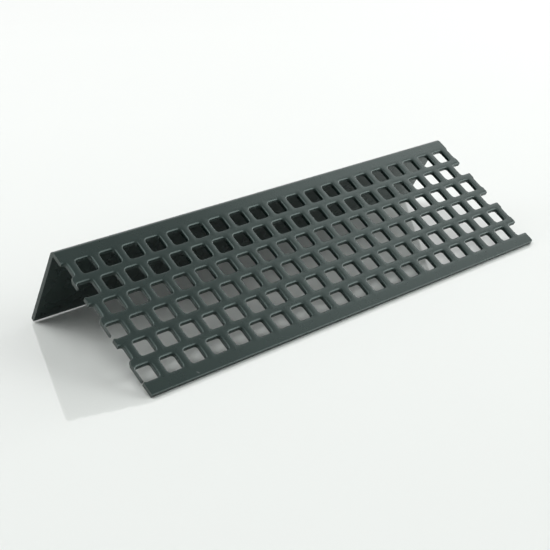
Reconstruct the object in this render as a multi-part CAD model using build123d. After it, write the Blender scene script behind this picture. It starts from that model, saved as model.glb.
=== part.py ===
"""Vent strip: an L-section profile with one perforated wing and one plain leg, cut from a longer length.

It rests like a tent on its two free long edges with the fold on top. X runs along the strip,
the perforated wing faces -Y, and the origin lies on the floor under the middle of the strip.
All sizes are in millimetres.
"""
import os
from math import atan2, cos, degrees, floor, pi, sin

from build123d import *

# Section
strip_length = 152.9
wing_width = 50.0
leg_width = 29.5
wall = 1.3
fold_radius = 1.5
inner_fold_radius = 0.4
edge_radius = 0.25
leg_edge_rise = 0.4
rim_corner_radius = 1.0

# Perforation of the wing, rows counted from the fold
row_count = 6
row_pitch = 7.18
fold_to_first_row = 7.6
hole_pitch = 7.44
left_cut_to_first_hole = 6.44

# Hole, with a lip that widens its mouth on the outer face
hole_size = 4.9
hole_corner_radius = 0.45
mouth_corner_radius = 1.2
corner_flats = 2
lip_width = 0.5
lip_depth = 0.25

# Breaks along the left cut
chip_width = 0.6
chip_height = 1.2
second_row_stub = 1.5
fourth_row_gap = 1.2
sixth_row_nick = 0.4

# Sizes that follow from those above
left_cut = -strip_length / 2
right_cut = strip_length / 2
stagger = hole_pitch / 2
half_hole = hole_size / 2
half_mouth = half_hole + lip_width
thin_wall = left_cut_to_first_hole - stagger - half_hole
lean = degrees(atan2(leg_width - wall, wing_width - wall))


def rounded(section, corner, radius):
    """The section with the vertex nearest to a corner rounded."""
    vertex = section.vertices().sort_by_distance(corner)[0]
    return fillet(vertex, radius)


def profile():
    """The whole L section drawn out along X, its wing level and its leg pointing down."""
    fold = (0, 0)
    wing_edges = [(-wing_width, 0), (-wing_width, -wall)]
    inner_fold = (-wall, -wall)
    leg_edges = [(-wall, -leg_width), (0, -leg_width)]
    section = make_face(Polyline(fold, *wing_edges, inner_fold, *leg_edges, close=True))
    section = rounded(section, fold, fold_radius)
    section = rounded(section, inner_fold, inner_fold_radius)
    for corner in wing_edges:
        section = rounded(section, corner, edge_radius)
    return extrude(Plane.YZ * section, amount=strip_length / 2, both=True)


def leg_edge_trim():
    """What the leg's free edge lacks, because it bows and stands clear of the floor towards both ends."""
    ends = [(left_cut, leg_edge_rise - leg_width), (right_cut, leg_edge_rise - leg_width)]
    bow = ThreePointArc(ends[0], (0, -leg_width), ends[1])
    below = Polyline(ends[1], (right_cut, -2 * leg_width), (left_cut, -2 * leg_width), ends[0])
    return extrude(Plane.XZ * make_face([bow, below]), amount=2 * wall, both=True)


def rim_corner_trim():
    """What the rounded corner of the wing's free edge lacks at the right cut."""
    square = Pos(right_cut, -wing_width) * Rectangle(2 * rim_corner_radius, 2 * rim_corner_radius)
    round_end = Pos(right_cut - rim_corner_radius, rim_corner_radius - wing_width) * Circle(rim_corner_radius)
    return extrude(square - round_end, amount=2 * wall, both=True)


def blank():
    """The profile with its free edges finished, before it is perforated."""
    trimmed = profile() - leg_edge_trim()
    long_edges = [edge for edge in trimmed.edges() if edge.length > strip_length / 2]
    leg_edges = [edge for edge in long_edges if edge.center().Z < -leg_width / 2]
    return fillet(leg_edges, edge_radius) - rim_corner_trim()


def hole_corners(half, radius, z):
    """Corners of a hole's square outline at one level, its four rounded corners drawn as flats."""
    reach = half - radius
    centres = [(reach, reach), (-reach, reach), (-reach, -reach), (reach, -reach)]
    points = []
    for quarter, (x, y) in enumerate(centres):
        for flat in range(corner_flats + 1):
            angle = (quarter + flat / corner_flats) * pi / 2
            points.append((x + radius * cos(angle), y + radius * sin(angle), z))
    return points


def flat_face(*points):
    """A flat face between points."""
    return make_face(Polyline(*points, close=True))


def hole_cutter():
    """The solid that one hole takes out of the wing: a straight throat and a widening mouth."""
    throat = extrude(flat_face(*hole_corners(half_hole, hole_corner_radius, 0)), amount=2 * wall, both=True)
    flare_half = half_hole + 2 * lip_width
    flare_radius = 2 * mouth_corner_radius - hole_corner_radius
    neck = hole_corners(half_hole, hole_corner_radius, -lip_depth)
    flare = hole_corners(flare_half, flare_radius, lip_depth)
    sides = [flat_face(neck[i - 1], neck[i], flare[i], flare[i - 1]) for i in range(len(neck))]
    mouth = Solid(Shell([flat_face(*neck), *sides, flat_face(*flare)]))
    return throat + mouth


def row_line(row):
    """Place of a row's centre line on the wing, along Y."""
    return -fold_to_first_row - row * row_pitch


def hole_places(row):
    """Hole centres of one row along X, with the holes that the two cuts run through."""
    first = left_cut + left_cut_to_first_hole - row % 2 * stagger
    before = floor((first + half_mouth - left_cut) / hole_pitch)
    after = floor((right_cut + half_mouth - first) / hole_pitch)
    return [first + step * hole_pitch for step in range(-before, after + 1)]


def perforation():
    """Cutters for all holes, in staggered rows."""
    cutter = hole_cutter()
    return [Pos(place, row_line(row)) * cutter for row in range(row_count) for place in hole_places(row)]


def chip(row):
    """Outline of the corner broken off the web below a hole that the left cut runs through."""
    top = row_line(row) - half_hole
    corners = [(left_cut, top), (left_cut + chip_width, top), (left_cut, top - chip_height)]
    return make_face(Polyline(*corners, close=True))


def wall_break(row, height):
    """Outline of what is missing at the foot of the thin wall beside a row's first whole hole."""
    foot = row_line(row) - half_hole
    return Pos(left_cut + thin_wall / 2, foot + height / 2) * Rectangle(2 * thin_wall, height)


def breaks():
    """Cutters for all that is missing along the left cut."""
    chips = [chip(row) for row in range(0, row_count, 2)]
    second = wall_break(1, hole_size - second_row_stub)
    fourth = wall_break(3, fourth_row_gap)
    sixth = wall_break(5, sixth_row_nick)
    return [extrude(outline, amount=2 * wall, both=True) for outline in [*chips, second, fourth, sixth]]


def at_rest(solid):
    """The solid leaning on its two free edges, centred over the origin."""
    leaning = Rot(X=lean) * solid
    box = leaning.bounding_box()
    return Pos(0, -box.center().Y, -box.min.Z) * leaning


vent_strip = at_rest(blank() - perforation() - breaks())

os.makedirs("parts", exist_ok=True)
export_step(vent_strip, "parts/vent_strip.step")
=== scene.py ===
"""Looks of the vent strip: its form with soft hole lips, its slate plastic, the studio and the camera."""
import logging
import math
from dataclasses import dataclass, field
from enum import Enum

import bmesh
import bpy
import numpy as np
from mathutils import Euler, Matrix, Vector

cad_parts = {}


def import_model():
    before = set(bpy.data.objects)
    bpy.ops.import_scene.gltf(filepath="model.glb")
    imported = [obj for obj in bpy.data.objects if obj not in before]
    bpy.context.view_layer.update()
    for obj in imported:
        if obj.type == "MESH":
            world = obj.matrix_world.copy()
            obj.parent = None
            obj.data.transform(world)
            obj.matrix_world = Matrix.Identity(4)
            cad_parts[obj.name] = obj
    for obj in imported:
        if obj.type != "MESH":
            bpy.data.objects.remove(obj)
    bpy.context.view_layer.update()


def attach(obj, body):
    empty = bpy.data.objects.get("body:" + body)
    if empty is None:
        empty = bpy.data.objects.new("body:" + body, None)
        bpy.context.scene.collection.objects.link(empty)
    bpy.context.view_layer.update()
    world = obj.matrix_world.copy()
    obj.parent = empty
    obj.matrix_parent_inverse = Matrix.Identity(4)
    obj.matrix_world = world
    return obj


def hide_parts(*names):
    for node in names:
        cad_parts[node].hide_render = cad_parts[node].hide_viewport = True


LOG = logging.getLogger("vent_strip")
MM = 0.001
Triple = tuple[float, float, float]


def placed(name: str, data: bpy.types.ID) -> bpy.types.Object:
    """Makes an object and links it to the scene.

    Args:
        name: Object name.
        data: Its mesh, light or camera.

    Returns:
        The object.
    """
    made = bpy.data.objects.new(name, data)
    bpy.context.scene.collection.objects.link(made)
    return made


class End(Enum):
    """The two cut ends of the strip, by their side of X."""

    LEFT = -1.0
    RIGHT = 1.0


@dataclass
class Surface:
    """Points and four-sided faces of one stretch of surface.

    Args:
        points: Array of points, n by 3, in metres.
        faces: Array of point numbers, m by 4.
    """

    points: np.ndarray
    faces: np.ndarray

    @staticmethod
    def grid(points: np.ndarray, closed: bool = False) -> "Surface":
        """Joins each point of a grid with its next in both directions.

        Args:
            points: Array of rows by columns by 3.
            closed: Whether the last column joins the first.

        Returns:
            The surface.
        """
        rows, columns = points.shape[:2]
        last = columns if closed else columns - 1
        row, column = np.meshgrid(np.arange(rows - 1), np.arange(last), indexing="ij")
        here = row * columns + column
        beside = row * columns + (column + 1) % columns
        faces = np.stack([here, beside, beside + columns, here + columns], -1)
        return Surface(points.reshape(-1, 3), faces.reshape(-1, 4))

    @staticmethod
    def joined(parts: list["Surface"]) -> "Surface":
        """Puts surfaces into one.

        Args:
            parts: The surfaces, in order.

        Returns:
            One surface with all points and faces.
        """
        starts = np.cumsum([0] + [len(part.points) for part in parts[:-1]])
        faces = [part.faces + start for part, start in zip(parts, starts)]
        return Surface(np.concatenate([part.points for part in parts]), np.concatenate(faces))

    def mesh(self, name: str) -> bpy.types.Mesh:
        """Makes a mesh of the surface.

        Args:
            name: Mesh name.

        Returns:
            The mesh.
        """
        made = bpy.data.meshes.new(name)
        made.from_pydata(self.points, [], self.faces)
        return made


@dataclass(frozen=True)
class Section:
    """The L section, in millimetres.

    A point of the strip is given by x along it, by down, its distance from the sharp fold corner along
    the wing's outer face, and by deep, its distance inward from that face. The leg runs inward.

    Args:
        length: Length of the strip.
        wing: Width of the perforated wing.
        leg: Width of the plain leg.
        wall: Thickness of wing and leg.
        fold_radius: Outer radius of the fold.
        inner_fold_radius: Inner radius of the fold.
        edge_radius: Radius along both free edges.
        leg_edge_rise: How far the bowed free edge of the leg rises towards both ends.
        rim_corner_radius: Radius of the wing's free corner at the right end.
    """

    length: float = 152.9
    wing: float = 50.0
    leg: float = 29.5
    wall: float = 1.3
    fold_radius: float = 1.5
    inner_fold_radius: float = 0.4
    edge_radius: float = 0.25
    leg_edge_rise: float = 0.4
    rim_corner_radius: float = 1.0

    FOLD_STEPS = 10
    EDGE_STEPS = 4
    RIM_CORNER_STEPS = 6

    def lean(self) -> float:
        """Returns the angle of the wing to the floor, in radians."""
        return math.atan2(self.leg - self.wall, self.wing - self.wall)

    def place(self, x: np.ndarray, down: np.ndarray, deep: np.ndarray) -> np.ndarray:
        """Turns strip coordinates into the part's frame, where the strip leans on its two free edges.

        The wing's direction is turned by the lean, and the box of the section is centred over the floor.

        Args:
            x: Places along the strip.
            down: Distances down the wing.
            deep: Distances inward.

        Returns:
            Points in metres, with one more axis than the inputs.
        """
        cos, sin, edge = math.cos(self.lean()), math.sin(self.lean()), self.edge_radius
        front = -(self.wing - edge) * cos + edge * sin - edge
        back = -edge * cos + (self.leg - edge) * sin + edge
        top = (self.wing - edge) * sin + (self.wall - edge) * cos + edge
        x, down, deep = np.broadcast_arrays(x, down, deep)
        y = -(front + back) / 2 - down * cos + deep * sin
        z = top - down * sin - deep * cos
        return np.stack([x, y, z], -1) * MM

    @staticmethod
    def arc(down: float, deep: float, radius: float, start: float, end: float, steps: int) -> np.ndarray:
        """Draws an arc: its centre plus the radius times the cosine and sine of the angle.

        Args:
            down: Centre down the wing.
            deep: Centre inward.
            radius: Radius.
            start: First angle in degrees, 0 down the wing and 90 inward.
            end: Last angle in degrees.
            steps: Number of chords.

        Returns:
            Array of points, steps plus 1 by 2.
        """
        angle = np.radians(np.linspace(start, end, steps + 1))
        return np.stack([down + radius * np.cos(angle), deep + radius * np.sin(angle)], -1)

    def fold_line(self, start: float) -> np.ndarray:
        """Draws the section from the wing's outer face round fold and leg to the wing's inner face.

        Args:
            start: Distance down the wing at which the line begins and ends.

        Returns:
            Array of points, n by 2, down and deep.
        """
        fold, inner, edge, wall = self.fold_radius, self.inner_fold_radius, self.edge_radius, self.wall
        return np.concatenate([
            [(start, 0.0)],
            self.arc(fold, fold, fold, 270.0, 180.0, self.FOLD_STEPS),
            self.arc(edge, self.leg - edge, edge, 180.0, 90.0, self.EDGE_STEPS),
            self.arc(wall - edge, self.leg - edge, edge, 90.0, 0.0, self.EDGE_STEPS),
            self.arc(wall + inner, wall + inner, inner, 180.0, 270.0, self.EDGE_STEPS),
            [(start, wall)],
        ])

    def rim_line(self, start: float) -> np.ndarray:
        """Draws the section from the wing's inner face round its free edge to its outer face.

        Args:
            start: Distance down the wing at which the line begins and ends.

        Returns:
            Array of points, n by 2, down and deep.
        """
        edge = self.edge_radius
        return np.concatenate([
            [(start, self.wall)],
            self.arc(self.wing - edge, self.wall - edge, edge, 90.0, 0.0, self.EDGE_STEPS),
            self.arc(self.wing - edge, edge, edge, 0.0, -90.0, self.EDGE_STEPS),
            [(start, 0.0)],
        ])


@dataclass(frozen=True)
class Hole:
    """One square hole with a soft lip on the outer face, in millimetres.

    Args:
        half: Half the width of the throat.
        corner: Corner radius of the throat.
        mouth_corner: Corner radius of the mouth on the outer face.
        lip_width: How far the lip spreads on the outer face.
        lip_depth: How deep the lip goes.
        lip_line: The lip from mouth to throat, each point as a share of its width and of its depth.
    """

    half: float = 2.35
    corner: float = 0.65
    mouth_corner: float = 1.2
    lip_width: float = 0.5
    lip_depth: float = 0.4
    lip_line: tuple[tuple[float, float], ...] = ((1.0, 0.0), (0.4, 0.33), (0.0, 1.0))

    SIDE_STEPS = 4

    @staticmethod
    def outline(half: np.ndarray, radius: np.ndarray) -> np.ndarray:
        """Draws square outlines with round corners, four chords to each side.

        One side runs from the middle of a corner to the middle of the next: one chord of an arc, two of a
        straight line and one of an arc. The other three sides are the first one, turned by quarter turns.

        Args:
            half: Half widths, one for each outline.
            radius: Corner radii, one for each outline.

        Returns:
            Array of outlines by 16 by 2, along and down.
        """
        half, radius = half[:, None], radius[:, None]
        reach = half - radius
        angle = np.radians(np.array([[225.0, 270.0, 270.0, 270.0]]))
        along = np.array([[-1.0, -1.0, 0.0, 1.0]])
        side = np.stack([reach * along + radius * np.cos(angle), radius * np.sin(angle) - reach], -1)
        turns = [np.array([[c, -s], [s, c]]) for c, s in ((1, 0), (0, 1), (-1, 0), (0, -1))]
        return np.concatenate([side @ turn.T for turn in turns], 1)

    def rings(self, pitch: float, row_pitch: float, wall: float) -> tuple[np.ndarray, np.ndarray]:
        """Draws the rings of one cell, from its outer border through the hole to its inner border.

        The lip runs down from the mouth on the outer face to the throat, first flatly and then steeply.

        Args:
            pitch: Width of the cell along the strip.
            row_pitch: Height of the cell down the wing.
            wall: Thickness of the wing.

        Returns:
            Array of rings by 16 by 2, along and down, and the depth of each ring.
        """
        lip = np.array(self.lip_line)
        spread = np.append(lip[:, 0], 0.0)
        half = self.half + self.lip_width * spread
        radius = self.corner + (self.mouth_corner - self.corner) * spread
        step = np.arange(self.SIDE_STEPS) / self.SIDE_STEPS - 0.5
        edge = np.full(self.SIDE_STEPS, 0.5)
        sides = ((step, -edge), (edge, step), (-step, edge), (-edge, -step))
        border = np.concatenate([np.stack(side, -1) for side in sides]) * np.array([pitch, row_pitch])
        rings = np.concatenate([border[None], self.outline(half, radius), border[None]])
        return rings, np.concatenate([[0.0], self.lip_depth * lip[:, 1], [wall, wall]])


@dataclass(frozen=True)
class Break:
    """What is missing at one place of an end, as an outline on the wing, in millimetres.

    Args:
        row: Row of holes at which it lies, counted from the fold.
        outline: Corners, each as the distance right of the left end and below the row's middle line.
    """

    row: int
    outline: tuple[tuple[float, float], ...]


# A chip is a corner broken off below a cut hole. A thin wall is missing from its broken end to its foot.
CHIP = ((-0.5, 1.9), (0.6, 1.9), (0.6, 2.3), (0.36, 2.78), (0.22, 3.2), (0.0, 3.65), (-0.5, 3.75))
STUB_END = ((-0.5, -1.35), (0.0, -1.25), (0.14, -0.98), (0.27, -0.95), (0.52, -1.0))
GAP_END = ((-0.5, 0.8), (0.1, 0.9), (0.27, 1.05), (0.52, 1.05))
NICK_END = ((-0.5, 1.7), (0.27, 1.85), (0.52, 1.85))
WALL_FOOT = ((0.52, 2.4), (-0.5, 2.4))
LEFT_END_BREAKS = (
    Break(0, CHIP),
    Break(2, CHIP),
    Break(4, CHIP),
    Break(1, STUB_END + WALL_FOOT),
    Break(3, GAP_END + WALL_FOOT),
    Break(5, NICK_END + WALL_FOOT),
)


@dataclass
class VentStrip:
    """The strip as one closed piece, with its sizes in millimetres.

    Args:
        section: Its L section.
        hole: Its hole.
        breaks: What is missing along the left end.
        rows: Rows of holes.
        row_pitch: Distance from row to row.
        first_row: Distance from the fold to the first row.
        pitch: Distance from hole to hole.
        first_hole: Distance from the left end to the first whole hole of the first row.
        drawn_holes: Holes drawn in each row, of which the ends cut some off.
        clear: How far the cutters of what is missing reach past the strip.
        sharp_from: Angle in degrees from which edges are shaded sharp.
    """

    section: Section = field(default_factory=Section)
    hole: Hole = field(default_factory=Hole)
    breaks: tuple[Break, ...] = LEFT_END_BREAKS
    rows: int = 6
    row_pitch: float = 7.18
    first_row: float = 7.6
    pitch: float = 7.44
    first_hole: float = 6.44
    drawn_holes: int = 22
    clear: float = 1.0
    sharp_from: float = 50.0

    STAGGER = 0.5
    SEAM_METRES = 1e-6
    CUT_METRES = 1e-8
    SAWN_SLOT = 1

    def end(self, side: End) -> float:
        """Returns the place of an end along X."""
        return side.value * self.section.length / 2

    def origin(self) -> float:
        """Returns the place along X of the first whole hole of the first row."""
        return self.end(End.LEFT) + self.first_hole

    def perforated_band(self) -> Surface:
        """Sets the rings of one hole at every place of the staggered rows.

        Each row starts one pitch left of its first whole hole.

        Returns:
            The band's outer face, hole walls and inner face, drawn past both ends.
        """
        rings, depth = self.hole.rings(self.pitch, self.row_pitch, self.section.wall)
        one = Surface.grid(np.zeros((*rings.shape[:2], 3)), closed=True)
        row, number = np.meshgrid(np.arange(self.rows), np.arange(self.drawn_holes), indexing="ij")
        row, number = row.reshape(-1, 1, 1), number.reshape(-1, 1, 1)
        x = self.origin() + (number - 1 + row % 2 * self.STAGGER) * self.pitch + rings[..., 0]
        down = self.first_row + row * self.row_pitch + rings[..., 1]
        points = self.section.place(x, down, depth[:, None])
        starts = np.arange(len(points))[:, None, None] * len(one.points)
        return Surface(points.reshape(-1, 3), (one.faces + starts).reshape(-1, 4))

    def drawn(self, line: np.ndarray, row: int) -> Surface:
        """Carries a line of the section along X, in steps that meet the cells of one row.

        It starts at a border between cells, a pitch and a half left of the row's first whole hole.
        The leg's free edge bows: it rises by the square of the distance from the middle.

        Args:
            line: Points of the section, n by 2.
            row: The row that the line meets.

        Returns:
            The surface, drawn past both ends.
        """
        step = np.arange(self.drawn_holes * Hole.SIDE_STEPS + 1) / Hole.SIDE_STEPS
        x = self.origin() + (step - 1.5 + row % 2 * self.STAGGER) * self.pitch
        rise = self.section.leg_edge_rise * (x / self.end(End.RIGHT)) ** 2
        deep = line[:, 1, None] - rise * (line[:, 1, None] > self.section.leg / 2)
        return Surface.grid(self.section.place(x, line[:, 0, None], deep))

    def build(self) -> bpy.types.Object:
        """Builds the piece: draws its surfaces past both ends and cuts them to length.

        Returns:
            The piece.
        """
        top = self.first_row - self.row_pitch / 2
        bottom = top + self.rows * self.row_pitch
        fold = self.drawn(self.section.fold_line(top), 0)
        rim = self.drawn(self.section.rim_line(bottom), self.rows - 1)
        mesh = Surface.joined([self.perforated_band(), fold, rim]).mesh("strip")
        self.cut_to_length(mesh)
        return placed("strip", mesh)

    def cut_to_length(self, mesh: bpy.types.Mesh) -> None:
        """Joins the surfaces at their seams, cuts both ends square and closes them.

        Args:
            mesh: The mesh to change.
        """
        work = bmesh.new()
        work.from_mesh(mesh)
        bmesh.ops.remove_doubles(work, verts=work.verts, dist=self.SEAM_METRES)
        for side in End:
            bmesh.ops.bisect_plane(
                work,
                geom=[*work.verts, *work.edges, *work.faces],
                dist=self.CUT_METRES,
                plane_co=Vector((self.end(side) * MM, 0.0, 0.0)),
                plane_no=Vector((side.value, 0.0, 0.0)),
                clear_outer=True,
            )
            border = [edge for edge in work.edges if edge.is_boundary]
            for face in bmesh.ops.holes_fill(work, edges=border, sides=0)["faces"]:
                face.material_index = self.SAWN_SLOT
        bmesh.ops.recalc_face_normals(work, faces=work.faces)
        work.to_mesh(mesh)
        work.free()

    def missing(self) -> list[np.ndarray]:
        """Draws the outlines of all that is missing: the breaks and the rounded corner of the rim.

        Returns:
            Outlines, each n by 2, x and down.
        """
        left, right, rim = self.end(End.LEFT), self.end(End.RIGHT), self.section.wing
        rows = [self.first_row + gap.row * self.row_pitch for gap in self.breaks]
        outlines = [np.array(gap.outline) + (left, row) for gap, row in zip(self.breaks, rows)]
        radius, steps = self.section.rim_corner_radius, self.section.RIM_CORNER_STEPS
        turn = self.section.arc(right - radius, rim - radius, radius, 0.0, 90.0, steps)
        outside = [
            (right - radius, rim + self.clear),
            (right + self.clear, rim + self.clear),
            (right + self.clear, rim - radius),
        ]
        return [*outlines, np.concatenate([turn, outside])]

    def take_out_missing(self, piece: bpy.types.Object, sawn: bpy.types.Material) -> None:
        """Takes prisms on the outlines of all that is missing out of the piece.

        Args:
            piece: The piece.
            sawn: Finish of the faces that this bares.
        """
        points, faces = [], []
        deep = np.array([[-self.clear], [self.section.wall + self.clear]])
        for outline in self.missing():
            start, count = sum(len(part) for part in points), len(outline)
            prism = Surface.grid(self.section.place(outline[:, 0], outline[:, 1], deep), closed=True)
            points.append(prism.points)
            faces += (prism.faces + start).tolist()
            faces += [list(range(start, start + count)), list(range(start + count, start + 2 * count))]
        mesh = bpy.data.meshes.new("missing")
        mesh.from_pydata(np.concatenate(points), [], faces)
        mesh.materials.append(sawn)
        work = bmesh.new()
        work.from_mesh(mesh)
        bmesh.ops.recalc_face_normals(work, faces=work.faces)
        work.to_mesh(mesh)
        work.free()
        tool = placed("missing", mesh)
        cut = piece.modifiers.new("missing", "BOOLEAN")
        cut.object, cut.solver, cut.material_mode = tool, "EXACT", "TRANSFER"
        whole = piece.evaluated_get(bpy.context.evaluated_depsgraph_get())
        piece.data = bpy.data.meshes.new_from_object(whole)
        piece.modifiers.clear()
        bpy.data.objects.remove(tool)

    def dress(self, piece: bpy.types.Object, skin: bpy.types.Material, sawn: bpy.types.Material) -> None:
        """Gives the piece its finishes, its breaks and smooth shading that keeps flat faces flat.

        Args:
            piece: The piece.
            skin: Finish of the moulded faces.
            sawn: Finish of the cut ends and of the breaks.
        """
        piece.data.materials.append(skin)
        piece.data.materials.append(sawn)
        self.take_out_missing(piece, sawn)
        mesh = piece.data
        mesh.polygons.foreach_set("use_smooth", np.ones(len(mesh.polygons), bool))
        mesh.set_sharp_from_angle(angle=math.radians(self.sharp_from))
        flat = piece.modifiers.new("flat_faces", "WEIGHTED_NORMAL")
        flat.keep_sharp = True
        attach(piece, "root")
        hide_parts("vent_strip")
        LOG.info("%s: %d faces, %d points", piece.name, len(mesh.polygons), len(mesh.vertices))


class Effect(Enum):
    """Shared effects, by the names of their node groups."""

    CLOUDS = "clouds_and_grain"
    MARK = "rubbed_mark"


@dataclass(frozen=True)
class NodeKit:
    """Places nodes in one node tree.

    Args:
        tree: The tree.
    """

    tree: bpy.types.NodeTree

    MIX_COLOURS = (6, 7)
    MIX_RESULT = 2

    def put(self, socket: bpy.types.NodeSocket, value: object) -> None:
        """Links an output socket to an input, or sets the input to a value.

        Args:
            socket: The input.
            value: The output socket or the value.
        """
        if isinstance(value, bpy.types.NodeSocket):
            self.tree.links.new(value, socket)
        else:
            socket.default_value = value

    def fill(self, made: bpy.types.Node, **inputs: object) -> None:
        """Sets or links inputs of a node.

        Args:
            made: The node.
            inputs: Values or output sockets by input name, with underscores for spaces.
        """
        for name, value in inputs.items():
            self.put(made.inputs[name.replace("_", " ")], value)

    def node(self, kind: str, **inputs: object) -> bpy.types.Node:
        """Places a node and sets or links its inputs.

        Args:
            kind: Node type.
            inputs: Values or output sockets by input name, with underscores for spaces.

        Returns:
            The node.
        """
        made = self.tree.nodes.new(kind)
        self.fill(made, **inputs)
        return made

    def group(self, effect: Effect, **inputs: object) -> bpy.types.Node:
        """Places a shared effect.

        Args:
            effect: The effect.
            inputs: Values or output sockets by input name, with underscores for spaces.

        Returns:
            The group node.
        """
        made = self.tree.nodes.new("ShaderNodeGroup")
        made.node_tree = bpy.data.node_groups[effect.value]
        self.fill(made, **inputs)
        return made

    def spread(self, value: bpy.types.NodeSocket, low: float, high: float) -> bpy.types.NodeSocket:
        """Spreads a value of 0 to 1 between two numbers.

        Args:
            value: The value.
            low: Result at 0.
            high: Result at 1.

        Returns:
            The result.
        """
        return self.node("ShaderNodeMapRange", Value=value, To_Min=low, To_Max=high).outputs["Result"]

    def blend(self, mask: bpy.types.NodeSocket, low: object, high: object) -> bpy.types.NodeSocket:
        """Blends two colours by a mask.

        Args:
            mask: The mask.
            low: Colour or socket at 0.
            high: Colour or socket at 1.

        Returns:
            The blended colour.
        """
        made = self.node("ShaderNodeMix")
        made.data_type = "RGBA"
        self.put(made.inputs["Factor"], mask)
        for number, value in zip(self.MIX_COLOURS, (low, high)):
            self.put(made.inputs[number], (*value, 1.0) if isinstance(value, tuple) else value)
        return made.outputs[self.MIX_RESULT]


@dataclass(frozen=True)
class SharedEffects:
    """Builds the node groups that the finishes share."""

    def start(
        self, effect: Effect, inputs: dict[str, str], outputs: tuple[str, ...]
    ) -> tuple[NodeKit, bpy.types.Node, bpy.types.Node]:
        """Makes an empty group with its sockets.

        Args:
            effect: The effect.
            inputs: Socket types by input name.
            outputs: Names of the values that it puts out.
        """
        tree = bpy.data.node_groups.new(effect.value, "ShaderNodeTree")
        for name, kind in inputs.items():
            tree.interface.new_socket(name, in_out="INPUT", socket_type=kind)
        for name in outputs:
            tree.interface.new_socket(name, in_out="OUTPUT", socket_type="NodeSocketFloat")
        kit = NodeKit(tree)
        return kit, kit.node("NodeGroupInput"), kit.node("NodeGroupOutput")

    def build_clouds(self) -> None:
        """Builds soft clouds and a fine grain, both from noise."""
        sockets = {
            "Place": "NodeSocketVector",
            "Cloud Scale": "NodeSocketFloat",
            "Grain Scale": "NodeSocketFloat",
        }
        kit, given, result = self.start(Effect.CLOUDS, sockets, ("Clouds", "Grain"))
        place, wide, fine = [given.outputs[name] for name in sockets]
        clouds = kit.node("ShaderNodeTexNoise", Vector=place, Scale=wide, Detail=3.0)
        grain = kit.node("ShaderNodeTexNoise", Vector=place, Scale=fine, Detail=2.0)
        soft = kit.node("ShaderNodeMapRange", Value=clouds.outputs[0], From_Min=0.3, From_Max=0.7)
        kit.fill(result, Clouds=soft.outputs[0], Grain=grain.outputs[0])

    def build_mark(self) -> None:
        """Builds one rubbed mark: an ellipsoid about a centre, soft towards its edge."""
        sockets = dict.fromkeys(("Place", "Centre", "Turn", "Reach"), "NodeSocketVector")
        kit, given, result = self.start(Effect.MARK, sockets, ("Mask",))
        names = {"Vector": "Place", "Location": "Centre", "Rotation": "Turn", "Scale": "Reach"}
        inputs = {name: given.outputs[source] for name, source in names.items()}
        local = kit.node("ShaderNodeMapping", **inputs)
        local.vector_type = "TEXTURE"
        length = kit.node("ShaderNodeVectorMath", Vector=local.outputs[0])
        length.operation = "LENGTH"
        mask = kit.node("ShaderNodeMapRange", Value=length.outputs["Value"], From_Min=1.0, From_Max=0.2)
        kit.fill(result, Mask=mask.outputs[0])


class Finish:
    """What the finishes share: one material with one shader, coloured by place on the object."""

    def start(self, name: str) -> tuple[bpy.types.Material, NodeKit, bpy.types.NodeSocket]:
        """Makes a plain material.

        Args:
            name: Material name.
        """
        made = bpy.data.materials.new(name)
        made.use_nodes = True
        kit = NodeKit(made.node_tree)
        return made, kit, kit.node("ShaderNodeTexCoord").outputs["Object"]

    def shade(self, made: bpy.types.Material, **inputs: object) -> bpy.types.Material:
        """Sets or links inputs of a material's shader.

        Args:
            made: The material.
            inputs: Values or output sockets by input name, with underscores for spaces.

        Returns:
            The material.
        """
        NodeKit(made.node_tree).fill(made.node_tree.nodes["Principled BSDF"], **inputs)
        return made


@dataclass(frozen=True)
class SlatePlastic(Finish):
    """The moulded skin: dark slate plastic, satin, faintly cloudy, with a fine grain and one rubbed mark.

    Args:
        deep: Colour of the darker clouds.
        pale: Colour of the lighter clouds.
        rubbed: Colour of the rubbed mark.
        gloss_tint: Tint of its gloss.
        refraction: Index of refraction, which sets how strong the gloss is.
        smooth: Roughness of the smoother clouds.
        dull: Roughness of the duller clouds.
        cloud_scale: Clouds to a metre.
        grain_scale: Grains to a metre.
        grain_depth: Height of the grain in metres.
        mark: Place of the rubbed mark in metres.
        mark_turn: Turn of the rubbed mark in radians.
        mark_reach: Half lengths of the rubbed mark in metres.
    """

    deep: Triple = (0.0045, 0.0125, 0.0105)
    pale: Triple = (0.0065, 0.0155, 0.0135)
    rubbed: Triple = (0.11, 0.125, 0.12)
    gloss_tint: Triple = (0.81, 1.0, 0.955)
    refraction: float = 1.6
    smooth: float = 0.25
    dull: float = 0.30
    cloud_scale: float = 160.0
    grain_scale: float = 2600.0
    grain_depth: float = 0.000004
    mark: Triple = (-0.0616, -0.0280, 0.0016)
    mark_turn: Triple = (0.52, 0.0, -0.9)
    mark_reach: Triple = (0.0011, 0.0003, 0.0003)

    def material(self) -> bpy.types.Material:
        """Builds the material.

        Returns:
            The material.
        """
        made, kit, place = self.start("slate_plastic")
        scales = {"Cloud_Scale": self.cloud_scale, "Grain_Scale": self.grain_scale}
        cast = kit.group(Effect.CLOUDS, Place=place, **scales)
        shape = {"Centre": self.mark, "Turn": self.mark_turn, "Reach": self.mark_reach}
        mark = kit.group(Effect.MARK, Place=place, **shape)
        colour = kit.blend(cast.outputs["Clouds"], self.deep, self.pale)
        bump = kit.node("ShaderNodeBump", Height=cast.outputs["Grain"], Distance=self.grain_depth)
        return self.shade(
            made,
            IOR=self.refraction,
            Specular_Tint=(*self.gloss_tint, 1.0),
            Base_Color=kit.blend(mark.outputs["Mask"], colour, self.rubbed),
            Roughness=kit.spread(cast.outputs["Clouds"], self.dull, self.smooth),
            Normal=bump.outputs[0],
        )


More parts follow.
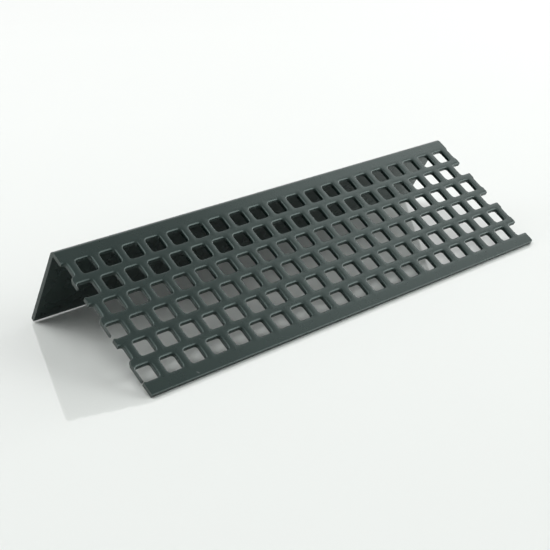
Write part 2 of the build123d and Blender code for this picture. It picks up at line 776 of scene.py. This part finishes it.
@dataclass(frozen=True)
class SawnPlastic(Finish):
    """Cut ends and breaks: the same plastic, paler (partly painted light) and duller, with fine saw lines
    across the wall.

    Args:
        deep: Colour between the lines.
        pale: Colour on the lines.
        rough: Lowest and highest roughness.
        line_turn: Turn of the lines in radians.
        line_squeeze: How much closer the lines stand along each axis.
        cloud_scale: Clouds to a metre, before the squeeze.
        line_scale: Lines to a metre, before the squeeze.
        line_depth: Height of the lines in metres.
    """

    # Paler than the skin: partly the cut face's own tone, partly painted light on the end faces from the
    # left.
    deep: Triple = (0.045, 0.062, 0.057)
    pale: Triple = (0.070, 0.090, 0.083)
    rough: tuple[float, float] = (0.5, 0.65)
    line_turn: Triple = (0.4, 0.0, 0.0)
    line_squeeze: Triple = (1.0, 1.0, 9.0)
    cloud_scale: float = 260.0
    line_scale: float = 420.0
    line_depth: float = 0.00002

    def material(self) -> bpy.types.Material:
        """Builds the material.

        Returns:
            The material.
        """
        made, kit, place = self.start("sawn_plastic_and_painted_light")
        lie = {"Rotation": self.line_turn, "Scale": self.line_squeeze}
        drawn = kit.node("ShaderNodeMapping", Vector=place, **lie)
        scales = {"Cloud_Scale": self.cloud_scale, "Grain_Scale": self.line_scale}
        lines = kit.group(Effect.CLOUDS, Place=drawn.outputs[0], **scales)
        bump = kit.node("ShaderNodeBump", Height=lines.outputs["Grain"], Distance=self.line_depth)
        # The base colour is partly painted light: deep and pale stand in partly for light on the end
        # faces.
        return self.shade(
            made,
            Base_Color=kit.blend(lines.outputs["Clouds"], self.deep, self.pale),
            Roughness=kit.spread(lines.outputs["Grain"], *self.rough),
            Normal=bump.outputs[0],
        )


@dataclass(frozen=True)
class GlossyFloor(Finish):
    """The pale, glossy floor that mirrors the strip faintly.

    Args:
        deep: Colour of the darker clouds.
        pale: Colour of the lighter clouds.
        refraction: Index of refraction, which sets how strong the mirror is.
        rough: Lowest and highest roughness.
        cloud_scale: Clouds to a metre.
        grain_scale: Grains to a metre.
        half: Half the width of the floor in metres.
    """

    deep: Triple = (0.897, 0.932, 0.903)
    pale: Triple = (0.903, 0.938, 0.909)
    refraction: float = 1.68
    rough: tuple[float, float] = (0.028, 0.04)
    cloud_scale: float = 9.0
    grain_scale: float = 400.0
    half: float = 3.0

    def material(self) -> bpy.types.Material:
        """Builds the material.

        Returns:
            The material.
        """
        made, kit, place = self.start("glossy_floor")
        scales = {"Cloud_Scale": self.cloud_scale, "Grain_Scale": self.grain_scale}
        cast = kit.group(Effect.CLOUDS, Place=place, **scales)
        return self.shade(
            made,
            IOR=self.refraction,
            Base_Color=kit.blend(cast.outputs["Clouds"], self.deep, self.pale),
            Roughness=kit.spread(cast.outputs["Grain"], *self.rough),
        )

    def build(self) -> None:
        """Lays the floor at height 0."""
        side = np.linspace(-self.half, self.half, 2)
        x, y = np.meshgrid(side, side)
        mesh = Surface.grid(np.stack([x, y, np.zeros_like(x)], -1)).mesh("floor")
        mesh.materials.append(self.material())
        floor = placed("floor", mesh)


@dataclass(frozen=True)
class Softbox:
    """One area light that faces the strip.

    Args:
        name: Object name.
        azimuth: Direction from the strip in degrees, 0 along +X and 90 along +Y.
        elevation: Height above the floor in degrees.
        radiance: Brightness of its face, where 1 is white.
        size: Width and height in metres.
        distance: Distance in metres.
    """

    name: str
    azimuth: float
    elevation: float
    radiance: float
    size: tuple[float, float] = (0.6, 0.6)
    distance: float = 1.2

    def build(self) -> None:
        """Makes the light, which sends out its radiance times pi times its area."""
        turn, tilt = math.radians(self.azimuth), math.radians(self.elevation)
        way = Vector((math.cos(tilt) * math.cos(turn), math.cos(tilt) * math.sin(turn), math.sin(tilt)))
        data = bpy.data.lights.new(self.name, "AREA")
        data.shape = "RECTANGLE"
        data.size, data.size_y = self.size
        data.energy = self.radiance * math.pi * self.size[0] * self.size[1]
        light = placed(self.name, data)
        light.location = way * self.distance
        light.rotation_euler = way.to_track_quat("Z", "Y").to_euler()
        light.visible_camera = False
        LOG.info("lamp %s", self.name)


LAMPS = (
    Softbox("back", 48.6, 27.5, 0.73, (6.4, 2.6), 2.82),
    Softbox("front_right", -40.0, 38.0, 3.0),
    Softbox("front_right_low", -45.0, 16.0, 2.6, (1.2, 0.6)),
    Softbox("front", -75.0, 38.0, 0.5),
    Softbox("right", 6.0, 45.0, 0.9, (0.4, 0.4)),
    Softbox("right_low", 5.0, 10.5, 4.3, (0.9, 0.35)),
    Softbox("top", 150.0, 78.0, 2.15),
    Softbox("left_high", 180.0, 62.0, 1.37),
    Softbox("back_left_high", 120.0, 62.0, 2.4),
    Softbox("back_left", 130.0, 38.0, 1.6),
    Softbox("left_low", 150.0, 16.0, 1.5),
)


@dataclass
class Studio:
    """Floor, lamps and background.

    Args:
        floor: The floor's finish.
        lamps: The lamps.
        background: Strength of the background as seen directly and in reflections, where 1 is white.
    """

    floor: GlossyFloor = field(default_factory=GlossyFloor)
    lamps: tuple[Softbox, ...] = LAMPS
    background: float = 0.52

    WHITE = (1.0, 1.0, 1.0, 1.0)

    def build(self) -> None:
        """Builds the floor, the lamps and the background."""
        self.floor.build()
        for lamp in self.lamps:
            lamp.build()
        self.build_background()

    def build_background(self) -> None:
        """Builds a white background that is seen directly and in reflections only."""
        world = bpy.data.worlds.new("studio")
        world.use_nodes = True
        world.node_tree.nodes.clear()
        kit = NodeKit(world.node_tree)
        path = kit.node("ShaderNodeLightPath")
        seen = kit.node("ShaderNodeMath")
        seen.operation = "MAXIMUM"
        kit.put(seen.inputs[0], path.outputs["Is Camera Ray"])
        kit.put(seen.inputs[1], path.outputs["Is Glossy Ray"])
        dark = kit.node("ShaderNodeBackground", Color=self.WHITE, Strength=0.0)
        white = kit.node("ShaderNodeBackground", Color=self.WHITE, Strength=self.background)
        mix = kit.node("ShaderNodeMixShader", Fac=seen.outputs[0])
        kit.put(mix.inputs[1], dark.outputs[0])
        kit.put(mix.inputs[2], white.outputs[0])
        kit.node("ShaderNodeOutputWorld", Surface=mix.outputs[0])
        bpy.context.scene.world = world


@dataclass(frozen=True)
class PhotoCamera:
    """Camera at the photograph's viewing angle.

    Args:
        place: Position in metres.
        azimuth: Heading in degrees, 0 along +Y and positive towards +X.
        drop: How far it looks below the horizon, in degrees.
        lens: Focal length in millimetres.
        sensor: Width of the sensor in millimetres.
        nearest: Distance in metres from which it sees.
    """

    place: Triple = (-0.21022, -0.22558, 0.13622)
    azimuth: float = 41.466
    drop: float = 23.619
    lens: float = 72.484
    sensor: float = 36.0
    nearest: float = 0.01

    def build(self) -> None:
        """Makes the camera and sets it as the scene's own."""
        data = bpy.data.cameras.new("photo_camera")
        data.sensor_width = self.sensor
        data.lens = self.lens
        data.clip_start = self.nearest
        camera = placed("photo_camera", data)
        camera.location = self.place
        camera.rotation_euler = Euler((math.radians(90.0 - self.drop), 0.0, math.radians(-self.azimuth)))
        bpy.context.scene.camera = camera


def main() -> None:
    """Builds the strip, the studio and the camera, in this order."""
    logging.basicConfig(level=logging.INFO, format="%(name)s: %(message)s")
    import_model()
    effects = SharedEffects()
    effects.build_clouds()
    effects.build_mark()
    strip = VentStrip()
    strip.dress(strip.build(), SlatePlastic().material(), SawnPlastic().material())
    Studio().build()
    PhotoCamera().build()
    bpy.context.scene.view_settings.view_transform = "Standard"


if __name__ == "__main__":
    main()
